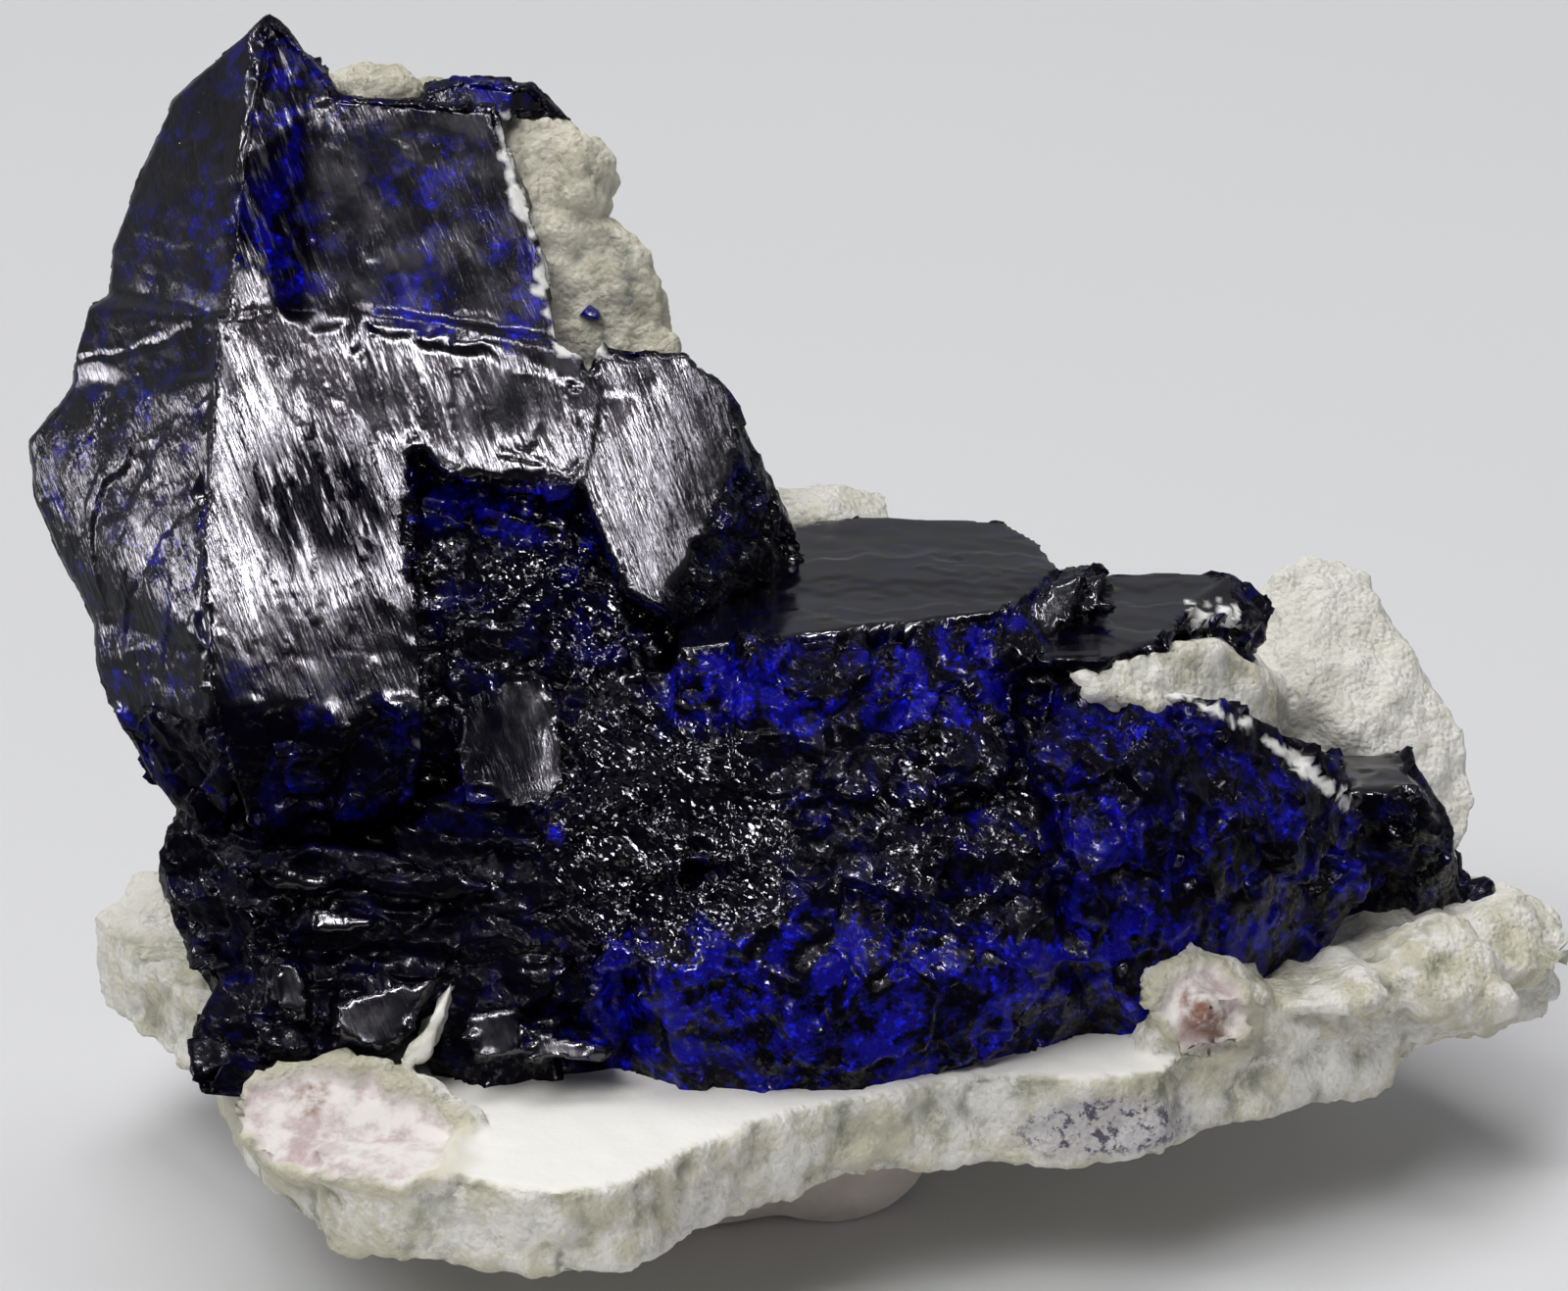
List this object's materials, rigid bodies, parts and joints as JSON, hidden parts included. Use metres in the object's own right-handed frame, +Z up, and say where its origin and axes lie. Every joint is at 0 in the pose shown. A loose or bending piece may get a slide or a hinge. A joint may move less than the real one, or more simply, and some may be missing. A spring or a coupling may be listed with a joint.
{
  "type": "azurite specimen on matrix",
  "caption": "Deep blue azurite crystals, an upright plate beside a low mass, on a slab of white matrix that rests on a flat-bottomed putty pad.",
  "frame": {"origin": "middle of the putty pad's flat underside, on the surface that the specimen stands on", "axes": "+X to the right as the specimen is shown, +Y to its back, +Z up"},
  "size_m": [0.0892, 0.0579, 0.0688],
  "materials": {
    "azurite": "vitreous to sub-vitreous crystal, deep blue to near black",
    "matrix": "matt, chalky white clay with cream and grey-green stains",
    "crust": "matt, grainy cream crust",
    "putty": "smooth, slightly waxy putty"
  },
  "bodies": {
    "root": {"azurite_crystals": "azurite", "matrix_slab": "matrix", "upper_crust": "crust", "putty_pad": "putty"}
  },
  "joints": []
}
